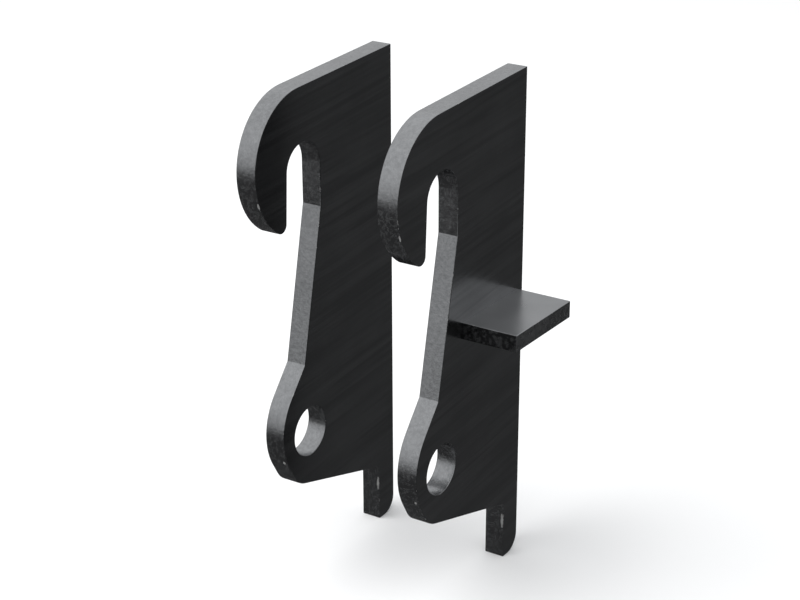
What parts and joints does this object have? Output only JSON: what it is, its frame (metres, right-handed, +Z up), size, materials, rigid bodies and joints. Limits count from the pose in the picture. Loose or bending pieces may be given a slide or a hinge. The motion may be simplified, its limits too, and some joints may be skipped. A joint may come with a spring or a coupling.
{
  "type": "weld-on hook bracket set",
  "caption": "Flat steel weld-on brackets, each with an open hook at the top, a round pin eye below and a narrow tail; a flat bar stands out from an outer face.",
  "frame": {"origin": "centre of the left bracket's hook seat, at mid thickness of its plate", "axes": "+X through the plates from the left bracket to the right one, -Y towards the open side of the hooks, +Y towards the straight edge that is welded on, +Z up along the plates"},
  "size_m": [0.1635, 0.1545, 0.359],
  "materials": {
    "black_plate": "satin black coat over flame-cut rolled plate",
    "black_bar": "satin black coat over flat bar",
    "weld_bead": "rippled weld under a satin black coat"
  },
  "bodies": {
    "left_bracket": {"left_hook_plate": "black_plate"},
    "right_bracket": {"right_hook_plate": "black_plate", "side_tab": "black_bar", "tab_weld": "weld_bead"}
  },
  "joints": [
    {"name": "bracket_spacing", "type": "slide", "parent": "left_bracket", "child": "right_bracket", "axis": [1, 0, 0], "range_m": [-0.085, 0.4]}
  ]
}
